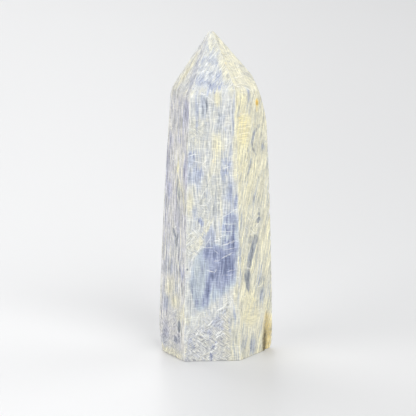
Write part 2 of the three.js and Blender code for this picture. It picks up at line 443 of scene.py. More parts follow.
# %% Spots of colour, side by side
SPOTS = {
    "front": [
        # The deep blue window and the blades that hang from it.
        (1.9, 23.5, 3.6, 5.6, 0, -0.205), (-1.5, 27.0, 0.6, 1.2, 0, -0.22),
        (-0.2, 21.3, 1.1, 1.0, 0, -0.2), (3.4, 24.0, 1.8, 3.3, 0, -0.14),
        (2.3, 24.3, 0.14, 2.2, 0, -0.11), (3.2, 23.6, 0.2, 2.6, 0, -0.1),
        (5.0, 25.0, 0.22, 4.2, 0, -0.14), (-1.0, 18.4, 0.75, 2.0, 0, -0.32),
        (-1.5, 15.9, 0.9, 2.2, 0, -0.2), (-3.2, 14.6, 1.1, 1.9, 0, -0.08), (0.0, 27.4, 2.0, 1.6, 0, -0.1),
        (2.6, 18.0, 1.6, 1.6, 0, 0.02), (0.2, 24.8, 0.5, 1.8, 0, 0.08),
        # Blue above the window.
        (4.9, 29.3, 1.7, 1.9, 0, -0.26), (3.6, 30.1, 0.8, 0.6, 0, -0.16), (5.1, 31.0, 0.3, 2.2, 0, -0.24),
        (3.8, 33.3, 2.0, 0.9, 0, -0.2), (3.6, 33.5, 0.5, 0.5, 0, -0.16), (4.6, 35.7, 1.7, 1.3, 0, -0.2),
        (-0.6, 31.0, 1.4, 2.4, 15, -0.2), (-2.7, 34.9, 0.6, 1.0, -10, -0.34),
        (-3.4, 35.4, 0.8, 0.4, 0, -0.16),
        # Blue patches at mid-height.
        (-5.3, 50.2, 1.2, 1.5, 0, -0.26), (-4.4, 51.6, 1.6, 0.5, 0, -0.18),
        (-4.0, 46.4, 1.6, 2.2, 10, -0.29), (-3.2, 47.2, 0.7, 1.1, 0, -0.14),
        (-5.9, 46.5, 0.6, 2.4, 0, -0.18), (-3.2, 43.4, 0.5, 1.2, 0, -0.16),
        (-4.4, 37.6, 0.6, 1.6, 0, -0.14), (3.2, 49.4, 0.8, 0.9, 0, -0.22),
        (4.1, 49.1, 0.35, 1.1, 0, -0.2), (2.9, 47.1, 0.8, 0.7, 0, -0.36), (2.7, 45.5, 0.55, 0.8, 0, -0.2),
        (2.9, 51.6, 0.7, 0.7, 0, -0.14), (4.4, 42.5, 0.28, 2.0, 0, -0.24),
        (4.1, 40.0, 0.5, 1.2, 0, -0.16), (5.6, 39.6, 0.45, 1.5, 0, -0.24),
        (5.4, 43.5, 0.6, 1.8, 0, -0.12), (4.6, 41.0, 1.6, 4.5, 0, -0.07),
        (-1.0, 41.5, 1.8, 4.5, 0, -0.05),
        # Below the shoulder.
        (-3.9, 62.2, 0.35, 4.4, 0, -0.16), (-2.4, 62.8, 1.2, 2.2, 0, -0.12),
        (4.8, 58.6, 0.3, 2.9, 0, -0.24), (0.0, 58.0, 0.4, 1.4, 0, -0.14), (3.0, 57.8, 0.4, 0.6, 0, -0.14),
        (5.2, 63.0, 0.25, 2.2, 0, -0.16),
        # The tip.
        (-0.8, 69.0, 3.6, 2.0, 0, -0.14), (-3.2, 68.8, 1.1, 0.8, 0, -0.13),
        (-0.2, 67.2, 1.0, 0.6, 0, -0.22), (-1.2, 66.4, 0.4, 0.9, 0, -0.22),
        (1.4, 67.6, 0.5, 0.5, 0, -0.26), (1.4, 70.5, 0.4, 0.5, 0, -0.2), (0.8, 69.2, 0.3, 0.9, 30, -0.16),
        (-2.8, 73.8, 0.9, 1.2, 20, -0.12), (-0.3, 75.8, 0.8, 0.8, 0, -0.18),
        (-0.2, 72.8, 1.9, 1.8, 45, -0.05),
        # Crossed blades at the foot.
        (3.0, 12.4, 0.3, 0.9, 45, -0.24), (2.2, 8.4, 0.6, 0.4, 0, -0.18),
        (1.2, 10.2, 1.4, 1.6, 30, -0.14), (1.0, 7.6, 2.0, 2.6, 0, -0.06), (-0.6, 7.2, 0.8, 0.9, 0, -0.14),
        (-4.6, 3.6, 0.35, 0.9, 30, -0.3), (-5.5, 4.6, 0.6, 1.1, 0, -0.18),
        (0.4, 3.8, 0.3, 0.9, 45, -0.34), (-0.4, 1.2, 0.4, 1.1, 0, -0.4), (-2.4, 7.6, 1.4, 0.5, 0, -0.12),
        (5.4, 3.4, 0.25, 2.4, 0, -0.16), (5.4, 11.0, 0.3, 3.4, 0, -0.18), (4.3, 9.0, 0.3, 2.6, 0, -0.14),
        (6.3, 15.0, 0.25, 3.0, 0, -0.14),
        # Cream and yellow veins.
        (6.7, 24.3, 0.45, 2.0, 0, 0.72), (5.4, 17.5, 1.2, 2.0, 0, 0.16), (6.7, 4.0, 0.3, 5.0, 0, 0.24),
        (-6.2, 10.2, 0.9, 0.9, 0, 0.26), (-6.9, 2.2, 0.5, 1.6, 0, 0.25), (1.2, 53.4, 1.2, 2.6, 0, 0.2),
        (1.2, 52.8, 0.8, 1.0, 0, 0.1), (0.3, 49.3, 0.5, 1.8, 10, 0.14), (1.4, 55.8, 1.0, 1.4, 0, 0.1),
        (5.9, 52.0, 0.7, 11.0, 0, 0.22), (5.1, 49.0, 0.25, 6.0, 0, 0.14), (5.8, 62.0, 0.45, 5.0, 0, 0.3),
        (2.0, 36.5, 0.25, 5.4, 0, 0.2), (-1.6, 32.6, 0.3, 3.2, 30, 0.24), (-2.9, 29.2, 0.3, 1.5, 45, 0.2),
        (1.2, 31.6, 0.5, 1.4, 0, 0.14), (-5.7, 39.4, 0.7, 2.2, 0, 0.16), (-0.5, 46.0, 0.5, 2.8, 15, 0.12),
        (1.1, 65.0, 0.7, 1.7, 0, 0.24), (-5.2, 66.0, 0.5, 0.7, 0, 0.26), (-2.6, 66.4, 0.9, 0.5, 0, 0.16),
        (3.4, 71.0, 1.3, 4.6, -15, 0.12), (0.4, 77.6, 1.2, 1.8, 0, 0.14),
    ],
    "left": [
        # Blue places.
        (-1.2, 21.5, 0.8, 2.6, 10, -0.12), (-3.2, 13.0, 1.1, 2.4, 0, -0.23),
        (-2.9, 4.6, 1.7, 3.0, 10, -0.18), (3.6, 5.0, 0.9, 1.2, 0, -0.16), (2.1, 4.7, 0.8, 0.9, 0, -0.3),
        (4.7, 21.4, 1.1, 1.1, 0, -0.2), (4.8, 46.8, 1.2, 3.4, 0, -0.3), (3.6, 61.0, 1.3, 3.8, 0, -0.22),
        (-3.5, 41.0, 1.0, 2.4, 0, -0.25), (-3.2, 53.2, 0.9, 1.8, 0, -0.14),
        (0.6, 54.4, 1.6, 0.9, 0, -0.1), (2.8, 70.0, 1.2, 3.6, -15, -0.12),
        (1.0, 76.0, 0.6, 2.4, -15, -0.14), (-4.9, 36.0, 0.5, 14.0, 0, -0.14),
        # Cream veins. The first three slant across above the foot.
        (-1.5, 17.5, 3.0, 2.0, -45, 0.22), (1.8, 14.0, 2.4, 1.6, -45, 0.29),
        (4.6, 11.2, 2.0, 1.3, -45, 0.16), (-4.0, 19.4, 1.2, 0.8, 0, 0.1), (0.0, 0.8, 6.5, 0.9, 0, 0.34),
        (0.8, 47.6, 0.6, 1.8, 0, 0.32), (0.8, 46.6, 0.4, 0.7, 0, 0.18), (2.6, 43.0, 0.3, 2.6, -30, 0.2),
        (4.8, 38.6, 0.4, 2.6, -30, 0.2), (-0.6, 42.6, 0.25, 3.2, 10, 0.18),
        (-1.2, 70.5, 0.9, 4.6, 15, 0.18), (-4.0, 66.4, 1.0, 1.2, 0, 0.1), (5.2, 54.0, 0.7, 1.6, 0, 0.12),
        (2.6, 65.8, 0.7, 0.4, 0, 0.18), (6.2, 12.0, 0.5, 5.0, 0, 0.16), (-3.5, 56.4, 0.5, 0.8, 0, 0.14),
        (6.2, 30.0, 0.4, 8.0, 0, 0.1),
    ],
    "right": [
        # Blue places.
        (-1.4, 26.5, 0.9, 4.2, 24, -0.22), (2.4, 15.3, 0.9, 1.8, 10, -0.22),
        (2.2, 18.6, 1.6, 1.0, 0, -0.14), (-1.6, 2.9, 1.5, 2.4, 0, -0.2), (-6.6, 26.0, 0.5, 6.5, 0, -0.26),
        (-5.6, 34.6, 0.4, 2.6, 0, -0.18), (0.2, 54.4, 0.5, 2.0, 30, -0.22),
        (4.3, 51.7, 0.4, 1.6, 45, -0.26), (-1.6, 47.4, 0.5, 1.6, 30, -0.2),
        (-0.8, 66.0, 0.5, 0.6, 0, -0.3), (-0.9, 64.2, 0.35, 0.5, 0, -0.2),
        (-6.6, 44.6, 0.4, 2.0, 0, -0.22),
        # Cream and yellow places.
        (-2.2, 14.6, 2.2, 2.2, 0, 0.12), (-2.4, 9.6, 2.6, 1.0, 0, 0.1), (-4.6, 19.0, 1.2, 6.0, 0, 0.06),
        (-6.2, 52.0, 0.8, 9.0, 0, 0.1), (-5.6, 22.0, 0.4, 8.0, 0, 0.1), (-3.4, 56.6, 2.8, 4.4, 0, 0.13),
        (-3.0, 59.6, 2.4, 1.3, 0, 0.12), (-1.3, 59.5, 0.9, 1.0, 0, 0.1), (-2.4, 54.0, 1.2, 2.4, 0, 0.06),
        (1.8, 66.4, 1.2, 2.4, 20, 0.12), (2.4, 62.6, 1.2, 1.4, 0, 0.14), (2.2, 67.7, 0.8, 0.6, 0, 0.1),
        (4.8, 22.0, 1.2, 9.0, 15, 0.05), (0.6, 45.2, 1.6, 3.6, 20, 0.08), (-4.2, 49.6, 2.2, 5.0, 0, 0.1),
        (-3.8, 63.8, 2.4, 2.2, 0, 0.2), (-2.4, 41.0, 0.6, 3.0, 20, 0.1), (3.6, 11.4, 1.6, 1.4, 0, 0.08),
    ],
}

# %% [markdown]
# Two places on the front are clear enough to look into. Their upper borders are crisp, so they are
# drawn as ellipses with hardly any softness. Where dark minerals got in between the blades the stone
# is slate grey, whatever its tone; the same grey also paints the shade in a pit and beside the slashes
# of the foot. In both tables the last number says how much, from 0 to 1.

# %% Clear windows, slate-grey places and painted shade
WINDOWS = {
    "left": [],
    "front": [(0.2, 20.0, 5.6, 9.2, 0, 1.0), (4.3, 30.4, 2.3, 6.9, 0, 0.7)],
    "right": [],
}
GREYS_AND_SHADOWS = {
    "left": [
        # The dark lens near the foot, and grey places round it.
        (3.9, 8.3, 0.75, 1.6, 0, 0.96), (3.6, 5.1, 1.0, 1.0, 0, 0.35), (2.1, 4.7, 0.8, 0.8, 0, 0.42),
        (-3.0, 13.3, 0.8, 1.8, 0, 0.3), (-2.8, 5.0, 1.7, 2.6, 0, 0.16),
        # A fork of dark blades.
        (0.3, 31.0, 0.5, 1.5, -45, 0.8), (2.0, 30.5, 0.5, 1.2, 30, 0.52), (1.5, 29.2, 0.55, 1.4, 0, 0.66),
        # Grey blades and hairs.
        (-1.2, 22.4, 0.4, 2.2, 0, 0.26), (2.2, 18.6, 0.5, 0.7, 0, 0.2), (5.1, 18.2, 0.5, 1.3, 0, 0.2),
        (2.2, 36.5, 0.8, 3.0, -15, 0.34), (1.6, 42.2, 0.65, 2.6, -15, 0.54),
        (-4.5, 27.0, 0.25, 8.0, 0, 0.26), (-3.3, 25.0, 0.25, 5.0, 0, 0.24),
        (-2.3, 29.5, 0.3, 3.0, 0, 0.2), (-4.6, 37.0, 0.3, 4.0, 0, 0.24), (-4.3, 47.6, 0.5, 2.8, 0, 0.2),
        # Faint clouds near the top.
        (1.0, 61.0, 1.6, 4.6, 15, 0.14), (-1.4, 58.6, 0.9, 2.2, 15, 0.1), (3.4, 60.4, 0.8, 2.6, 0, 0.14),
        (0.4, 66.6, 1.2, 0.8, 0, 0.16), (2.9, 69.5, 0.7, 2.4, -15, 0.12), (4.8, 26.0, 0.6, 1.6, 0, 0.1),
    ],
    "front": [
        # A cloud in the big window, and a small pit beside it, whose dark dot is painted shade.
        (-3.9, 19.0, 1.7, 6.0, 15, 0.15), (-6.2, 23.1, 0.27, 0.27, 0, 0.85),
        # A dark blade below the shoulder, and its neighbours.
        (-1.4, 63.3, 0.26, 1.9, 0, 0.78), (-2.4, 62.4, 0.5, 1.5, 0, 0.22),
        (-2.2, 61.0, 0.7, 0.22, 0, 0.3), (1.9, 61.2, 0.5, 0.6, 0, 0.42), (1.4, 59.3, 0.35, 0.45, 0, 0.2),
        (-1.0, 58.4, 0.15, 2.2, 0, 0.25),
        # Thin grey blades at mid-height.
        (0.8, 41.0, 0.18, 4.2, 0, 0.26), (1.5, 40.6, 0.18, 4.2, 0, 0.26), (0.5, 37.6, 0.6, 1.2, 0, 0.3),
        (0.6, 34.0, 0.25, 1.7, 0, 0.24), (-1.2, 43.8, 0.22, 0.8, 30, 0.42),
        (-2.8, 39.4, 0.22, 1.0, 0, 0.3), (2.6, 43.4, 0.18, 1.8, 0, 0.22), (3.4, 44.4, 1.2, 0.16, 0, 0.26),
        (3.4, 43.2, 1.2, 0.14, 0, 0.2),
        # Gaps between the crossed blades of the foot: dark blades, and painted shadow beside the white
        # slashes.
        (0.4, 3.8, 0.25, 0.8, 45, 0.42), (-4.7, 3.5, 0.2, 0.7, 30, 0.3), (3.2, 12.6, 0.2, 0.8, 45, 0.3),
        (-1.4, 4.6, 1.4, 1.8, 0, 0.1), (-0.3, 9.2, 0.14, 0.8, 45, 0.34), (1.9, 6.5, 0.14, 0.9, 45, 0.38),
        (2.5, 12.8, 0.16, 1.4, 60, 0.34), (3.8, 14.2, 0.14, 0.8, 60, 0.3),
        (-2.9, 6.2, 0.13, 1.4, -60, 0.3), (-1.7, 4.4, 0.13, 1.4, -60, 0.3),
        (-3.6, 3.2, 0.13, 1.2, -60, 0.26),
    ],
    "right": [
        # The dark lens and the long slate band above it.
        (-3.6, 20.6, 1.35, 1.7, 0, 0.76), (-3.5, 19.0, 0.85, 2.1, 0, 0.74),
        (-3.4, 17.8, 0.4, 1.3, 0, 0.74), (-2.7, 23.8, 0.95, 1.7, 15, 0.55),
        (-1.4, 26.4, 1.05, 3.9, 30, 0.68), (-2.0, 29.4, 1.0, 0.9, 0, 0.42),
        (0.2, 29.2, 1.0, 1.1, 0, 0.62),
        # A dark blob with thin arms.
        (1.5, 33.8, 0.95, 0.6, -30, 0.78), (1.9, 35.2, 0.6, 0.45, 30, 0.6), (0.7, 33.4, 0.6, 0.4, 0, 0.3),
        (-0.6, 32.2, 0.25, 1.0, 60, 0.24), (-1.8, 35.4, 0.25, 1.6, -45, 0.24),
        # Grey places low on the side.
        (2.4, 18.6, 1.2, 0.9, 0, 0.2), (2.1, 15.2, 1.0, 1.5, 15, 0.22), (0.5, 12.7, 0.35, 1.2, 15, 0.4),
        (3.8, 22.0, 0.5, 2.2, 15, 0.16), (-1.5, 3.0, 1.5, 2.3, 0, 0.26), (-5.8, 3.0, 0.35, 2.8, 0, 0.35),
        (-6.6, 7.5, 0.4, 0.9, 0, 0.25), (-6.3, 13.5, 0.5, 1.6, 0, 0.22), (-6.7, 29.0, 0.4, 3.0, 0, 0.26),
        (-5.7, 34.5, 0.4, 2.4, 0, 0.2), (0.5, 25.4, 0.5, 2.0, 15, 0.24), (3.0, 29.5, 0.25, 3.0, 15, 0.2),
        (4.4, 32.0, 0.25, 3.0, 15, 0.18), (1.4, 38.5, 0.4, 2.2, 15, 0.2),
        # A curved arc near the top, and slashes beside and below it.
        (2.8, 56.9, 0.7, 0.6, 0, 0.38), (1.5, 56.0, 0.4, 0.9, 60, 0.42), (0.2, 54.6, 0.5, 1.2, 30, 0.48),
        (-0.2, 53.0, 0.55, 0.9, 0, 0.5), (0.3, 51.4, 0.35, 1.0, -30, 0.4),
        (1.0, 50.3, 0.25, 0.7, -45, 0.3), (4.2, 51.7, 0.45, 1.6, 45, 0.24),
        (-1.4, 47.9, 0.55, 1.4, 15, 0.36), (-2.3, 46.2, 0.4, 1.0, 30, 0.4),
        (-3.1, 45.3, 0.25, 0.6, 45, 0.3),
        # Specks and faint clouds.
        (-2.0, 51.7, 0.45, 0.5, 0, 0.36), (-0.9, 64.3, 0.35, 0.5, 0, 0.16),
        (2.6, 53.0, 1.8, 2.8, 15, 0.09), (1.8, 60.0, 0.9, 1.6, 15, 0.12), (2.8, 43.5, 1.6, 2.0, 15, 0.05),
        (-4.6, 59.5, 0.5, 0.25, 0, 0.3), (2.5, 70.0, 1.0, 3.0, -15, 0.2), (-4.8, 57.9, 0.6, 0.15, 0, 0.2),
    ],
}

# %% [markdown]
# Iron tints whole regions a little cream. Each row says how warm such a region is, from 0 to 1.

# %% Warm regions
WARMTH = {
    "left": [
        (-0.2, 15.5, 4.8, 4.5, -30, 0.7), (0.5, 22.0, 5.0, 9.0, 0, 0.5), (4.0, 11.5, 3.0, 2.6, -45, 0.6),
        (0.0, 1.5, 6.5, 2.6, 0, 0.5), (-1.8, 70.5, 1.8, 6.0, 15, 0.7), (3.8, 41.0, 1.4, 4.0, -30, 0.6),
        (1.7, 42.0, 1.0, 3.0, -15, 1.0), (0.8, 47.6, 0.8, 2.0, 0, 0.7), (5.4, 54.0, 1.2, 3.0, 0, 0.5),
    ],
    "front": [
        (4.6, 5.0, 2.6, 8.0, 0, 0.75), (-2.0, 7.5, 5.2, 6.0, 0, 0.2), (6.2, 17.0, 0.9, 6.0, 0, 0.7),
        (-4.0, 57.0, 2.8, 3.8, 0, 0.45), (-5.6, 39.5, 1.2, 3.4, 0, 0.5), (-4.6, 29.6, 2.6, 3.4, 15, 0.45),
        (-0.6, 41.0, 2.6, 9.0, 15, 0.4), (5.8, 52.0, 0.9, 13.0, 0, 0.6), (3.4, 71.5, 1.6, 6.0, -15, 0.5),
        (0.2, 78.0, 1.5, 2.4, 0, 0.3), (1.0, 65.2, 1.0, 2.0, 0, 0.7), (1.1, 53.0, 1.7, 4.4, 0, 0.5),
    ],
    "right": [
        (-2.0, 11.0, 4.5, 5.5, 0, 1.0), (-3.4, 56.5, 3.2, 5.0, 0, 1.0), (4.4, 10.0, 2.4, 3.4, 0, 1.0),
        (-4.0, 49.0, 2.6, 6.0, 0, 0.95),
    ],
}

# %% [markdown]
# In a few places the blades are cut across, and fine level ribs show instead of upright hairs.

# %% Ribbed regions
RIBBED = {
    "left": [],
    "front": [(3.4, 43.8, 1.4, 2.0, 0, 0.5)],
    "right": [
        (-3.5, 57.0, 2.7, 4.4, 0, 1.0), (-2.2, 10.2, 4.2, 2.6, 0, 0.9), (-4.0, 70.0, 3.0, 4.0, 0, 0.4),
    ],
}

# %% [markdown]
# The foot and the tip are not the only places where blades cross. A few pockets on the sides show short
# blades that lean both ways. Each row says how far they take the place of the upright ones.

# %% Pockets of crossed blades
POCKETS = {
    "left": [],
    "front": [
        (-4.3, 29.6, 2.3, 3.8, 15, 0.85), (-2.4, 38.4, 1.5, 3.0, 15, 0.6), (-3.8, 56.8, 2.2, 2.6, 0, 0.6),
    ],
    "right": [(-0.8, 32.8, 2.4, 2.6, 0, 0.75)],
}

# %% [markdown]
# Cracks show as thin white lines: partly the white of broken stone, and partly painted glints where
# their faces catch the light. Each is one straight stroke, and a bent crack is two or three of them.
# Their numbers are the same as for spots, with the strength of the white at the end.

# %% Cracks and slashes, with their painted glints
CRACKS_AND_GLINTS = {
    "front": [
        # Across the windows.
        (-0.5, 22.6, 0.13, 0.9, -75, 0.8), (0.7, 22.8, 0.11, 0.4, 30, 0.6),
        (1.0, 25.2, 0.12, 0.7, 75, 0.7), (2.6, 26.0, 0.15, 0.5, 60, 0.7), (3.8, 26.6, 0.14, 1.1, 60, 0.6),
        (-2.2, 28.6, 0.14, 1.0, -75, 0.8), (-0.6, 28.5, 0.12, 0.8, 90, 0.6),
        (0.9, 27.4, 0.1, 0.7, -45, 0.4), (3.6, 29.4, 0.13, 1.6, 75, 0.7), (3.8, 21.6, 0.09, 1.4, 90, 0.4),
        (4.8, 22.8, 0.09, 1.2, 75, 0.4), (6.0, 21.0, 0.1, 0.8, 90, 0.5), (6.7, 24.2, 0.22, 1.6, 0, 0.5),
        (4.2, 28.2, 0.1, 1.5, 75, 0.5), (3.9, 34.3, 0.11, 1.9, 90, 0.7), (3.2, 32.4, 0.12, 1.4, 90, 0.7),
        (5.2, 30.0, 0.1, 1.2, 90, 0.5), (2.4, 31.3, 0.12, 0.9, 75, 0.7), (4.0, 36.9, 0.12, 2.2, 60, 0.6),
        # The big window's upper border.
        (-5.2, 23.4, 0.13, 1.6, 15, 0.3), (-4.6, 26.0, 0.15, 1.3, 30, 0.5),
        (-3.4, 27.9, 0.16, 1.2, 45, 0.5),
        # Slashes among the crossed blades of the foot, whose brightest white is a painted glint.
        (-0.8, 9.4, 0.18, 0.6, 45, 1.3), (-0.2, 9.9, 0.14, 0.5, 45, 1.1), (1.2, 7.0, 0.17, 0.6, 45, 1.3),
        (1.9, 7.2, 0.2, 0.6, 45, 1.4), (1.4, 6.2, 0.14, 0.7, 60, 1.2), (2.5, 6.8, 0.12, 0.5, 60, 0.8),
        (1.8, 13.1, 0.15, 0.9, 60, 1.2), (2.5, 13.6, 0.14, 0.8, 60, 1.1), (3.2, 14.4, 0.12, 0.6, 60, 0.7),
        (3.4, 15.2, 0.11, 0.5, 45, 0.7), (4.6, 14.6, 0.12, 0.7, 15, 0.7),
        (4.8, 15.6, 0.12, 0.6, -45, 0.7), (4.2, 16.2, 0.11, 0.6, 75, 0.6), (0.7, 4.2, 0.17, 0.6, 60, 1.3),
        (0.9, 3.4, 0.12, 0.5, 45, 0.7), (-0.3, 2.4, 0.12, 0.8, 60, 0.7), (-3.9, 6.9, 0.13, 0.6, 30, 0.9),
        (-3.0, 7.3, 0.12, 0.6, 45, 0.7), (-1.6, 5.9, 0.1, 1.2, -60, 0.7), (-0.6, 5.4, 0.1, 0.8, -60, 0.6),
        (-3.0, 4.9, 0.1, 1.2, -60, 0.5), (-3.4, 4.0, 0.1, 1.2, -60, 0.5), (-2.4, 7.0, 0.1, 1.2, -60, 0.6),
        (-1.0, 3.3, 0.1, 1.0, -60, 0.5), (-2.6, 2.4, 0.1, 1.2, -75, 0.4), (-6.0, 7.4, 0.13, 0.7, 45, 0.7),
        (-3.4, 11.4, 0.12, 0.6, 30, 0.5), (-2.6, 9.0, 0.12, 0.6, 45, 0.5),
        (-4.4, 9.0, 0.11, 0.6, 15, 0.5),
        # From mid-height up to the shoulder.
        (-3.4, 49.6, 0.13, 1.1, -75, 0.9), (-2.0, 49.4, 0.12, 0.8, 45, 0.8),
        (-1.9, 48.4, 0.12, 0.5, -45, 0.7), (-4.9, 51.3, 0.12, 0.7, 75, 0.9),
        (3.2, 48.2, 0.13, 0.9, 75, 0.7), (-2.2, 39.0, 0.13, 0.8, 90, 0.9),
        (-0.5, 40.5, 0.12, 0.9, 30, 0.5), (-2.2, 42.0, 0.12, 1.2, 30, 0.5),
        (-5.4, 31.9, 0.13, 0.7, 75, 0.8), (-4.8, 30.8, 0.12, 0.9, 45, 0.7),
        (-4.2, 32.6, 0.12, 0.9, -45, 0.6), (-3.6, 30.2, 0.12, 0.9, 45, 0.6),
        (-5.9, 29.6, 0.12, 0.9, 60, 0.5), (-3.2, 33.4, 0.11, 0.8, 15, 0.5),
        (-5.2, 35.4, 0.11, 1.0, 75, 0.4), (0.9, 30.2, 0.12, 0.6, 75, 0.8),
        (1.6, 30.6, 0.12, 0.4, -45, 0.8), (-1.2, 34.4, 0.12, 1.0, 30, 0.6),
        (-1.0, 30.2, 0.12, 1.4, 30, 0.4), (0.4, 47.4, 0.11, 1.6, 15, 0.5),
        (-0.8, 44.6, 0.11, 1.2, 15, 0.5), (1.9, 45.0, 0.11, 1.2, 0, 0.5),
        (-2.4, 66.0, 0.12, 0.8, -75, 0.55), (-0.8, 65.0, 0.12, 0.9, -60, 0.7),
        (0.2, 64.3, 0.11, 0.5, -60, 0.6), (3.0, 66.4, 0.12, 1.2, 15, 0.6),
        (3.9, 67.9, 0.12, 0.8, 60, 0.6), (3.4, 65.2, 0.11, 1.3, 0, 0.5), (3.4, 53.6, 0.13, 0.6, 75, 0.7),
        (4.2, 54.3, 0.12, 0.5, 60, 0.6), (-4.9, 65.6, 0.14, 0.5, 15, 0.9), (2.9, 64.4, 0.11, 2.4, 0, 0.6),
        (3.7, 63.0, 0.11, 2.8, 0, 0.6), (4.4, 62.0, 0.11, 2.6, 0, 0.5), (2.4, 58.6, 0.11, 1.8, 0, 0.5),
        (3.6, 57.4, 0.11, 1.6, 0, 0.6), (-0.6, 59.4, 0.1, 2.6, 0, 0.4), (-5.4, 60.6, 0.1, 3.4, 0, 0.4),
        # Flecks on the tip.
        (-0.4, 74.2, 0.13, 0.8, 45, 0.7), (0.4, 72.2, 0.13, 0.7, 45, 0.7),
        (-1.4, 72.6, 0.13, 0.7, 45, 0.6), (-2.4, 71.0, 0.13, 0.8, 45, 0.7),
        (-1.2, 70.6, 0.12, 0.7, 45, 0.7), (0.2, 69.9, 0.11, 0.6, 45, 0.6),
        (1.8, 71.6, 0.12, 0.7, 45, 0.6), (-2.2, 74.8, 0.12, 0.6, 30, 0.6),
        (-1.6, 69.4, 0.12, 0.6, 45, 0.6), (0.8, 74.6, 0.13, 0.6, 30, 0.5),
    ],
    "left": [
        (-2.4, 18.6, 0.14, 1.0, -60, 0.5), (1.2, 11.6, 0.14, 1.4, 60, 0.5),
        (4.4, 11.2, 0.14, 0.9, 75, 0.5), (0.7, 32.6, 0.12, 0.8, 60, 0.6),
        (-0.6, 29.6, 0.12, 1.2, -15, 0.5), (-2.9, 26.5, 0.14, 4.0, 0, 0.5),
        (-3.9, 30.5, 0.14, 5.5, 0, 0.5), (-1.8, 33.5, 0.12, 3.2, 15, 0.4),
        (-2.0, 44.0, 0.14, 4.6, 15, 0.5), (-3.2, 46.0, 0.14, 4.6, 15, 0.4),
        (-1.6, 48.9, 0.14, 0.8, -60, 0.6), (1.9, 49.6, 0.14, 0.8, 60, 0.6),
        (2.2, 44.2, 0.14, 1.8, -30, 0.5), (-3.5, 56.4, 0.16, 0.8, 75, 0.7),
        (3.4, 65.4, 0.14, 1.6, 75, 0.6), (0.8, 72.0, 0.12, 2.4, 15, 0.5), (1.6, 73.0, 0.12, 2.4, 15, 0.4),
        (5.4, 24.6, 0.14, 1.2, 45, 0.4),
    ],
    "right": [
        # From the foot up to mid-height.
        (-3.0, 22.5, 0.14, 0.9, -75, 0.8), (-0.9, 30.8, 0.16, 1.6, 90, 0.5),
        (1.1, 34.4, 0.12, 0.8, 75, 0.9), (0.9, 32.6, 0.12, 0.7, 60, 0.8),
        (-1.3, 31.4, 0.11, 0.9, -45, 0.6), (-2.2, 34.6, 0.11, 1.2, -45, 0.6),
        (-0.4, 34.8, 0.11, 1.4, 45, 0.6), (-3.4, 32.6, 0.11, 1.0, -60, 0.5),
        (1.4, 36.6, 0.12, 0.8, 75, 0.5), (1.0, 21.0, 0.12, 2.2, 30, 0.5), (2.4, 23.6, 0.12, 2.6, 15, 0.5),
        (-0.4, 17.4, 0.12, 1.4, 60, 0.5), (1.6, 17.0, 0.12, 0.9, 90, 0.6),
        (3.8, 26.4, 0.12, 2.6, 15, 0.4), (1.8, 28.6, 0.12, 2.6, 15, 0.4),
        (-4.6, 15.8, 0.12, 1.0, 75, 0.4), (1.9, 11.2, 0.12, 1.0, 75, 0.4),
        (-2.6, 49.4, 0.12, 0.7, 75, 0.7), (-0.6, 45.9, 0.12, 0.9, 60, 0.5),
        # Level cracks in the ribbed yellow place.
        (-3.4, 60.7, 0.09, 2.4, 90, 0.5), (-3.6, 59.2, 0.09, 2.0, 90, 0.4),
        (-3.2, 57.4, 0.09, 2.2, 90, 0.5), (-3.4, 56.0, 0.09, 2.2, 90, 0.5),
        (-3.8, 54.4, 0.09, 2.0, 90, 0.4),
        # Curls where the front, the right side and the tip meet.
        (-4.0, 67.6, 0.12, 1.2, -75, 0.6), (-1.2, 66.9, 0.12, 1.4, -60, 0.6),
        (1.2, 65.0, 0.12, 1.3, -30, 0.6), (-2.6, 65.9, 0.11, 1.6, -75, 0.5),
        # The tip.
        (0.2, 71.4, 0.1, 1.8, 75, 0.4), (-0.8, 74.4, 0.1, 1.4, 90, 0.4), (-1.6, 69.4, 0.1, 2.6, 90, 0.5),
        (-2.6, 68.0, 0.1, 2.2, 90, 0.4),
    ],
}

# %% [markdown]
# Iron in the soil left ochre stains, mostly where the flake split off, and rust-brown specks. The dark
# brown strip along the left border of the flake's bed is painted shadow of its step.

# %% Stains, rust and the painted shadow of the flake's step
STAINS = {
    "left": [(-1.6, 70.0, 0.4, 1.5, 15, 0.15)],
    "front": [(3.3, 72.9, 0.35, 0.35, 0, 0.5), (0.2, 49.8, 0.2, 0.5, 0, 0.25)],
    "right": [
        # The flake's bed.
        (5.0, 3.4, 2.1, 5.4, 0, 0.9), (4.6, 7.8, 1.1, 2.2, 0, 0.7),
        # The orange spot below the shoulder, and smaller ones.
        (2.4, 62.7, 0.55, 0.9, 0, 1.5), (2.2, 61.2, 0.35, 0.7, 0, 0.6), (-5.0, 60.0, 0.3, 0.25, 0, 0.7),
        (-4.4, 61.0, 0.25, 0.2, 0, 0.6), (-3.1, 72.8, 0.3, 0.3, 0, 0.6), (-1.3, 59.5, 0.9, 0.9, 0, 0.1),
        (-3.4, 57.8, 2.6, 3.8, 0, 0.08),
    ],
}
RUST_AND_STEP_SHADOW = {
    "left": [],
    "front": [],
    "right": [
        # Along the left border of the flake's bed the dark brown is painted shadow of its step. The row at
        # 62.5 mm is the rust core of the orange spot.
        (3.8, 1.9, 1.1, 4.3, 0, 1.25), (4.1, 6.4, 0.6, 2.6, 15, 0.55), (4.9, 7.4, 1.2, 2.0, 0, 0.26),
        (2.45, 62.5, 0.3, 0.5, 0, 0.4), (5.0, 5.2, 0.9, 0.5, 0, 0.28), (5.5, 1.2, 0.8, 0.5, 0, 0.22),
    ],
}
for name in SHOWN_SIDES:
    print(name, "side:", len(SPOTS[name]), "spots and", len(CRACKS_AND_GLINTS[name]), "cracks_and_glints")


# %% [markdown]
# The three sides at the back grew in the same stone, so they carry the same kinds of spots. Turning
# the map of a side end over end gives its opposite side a pattern of its own, with no more nodes.

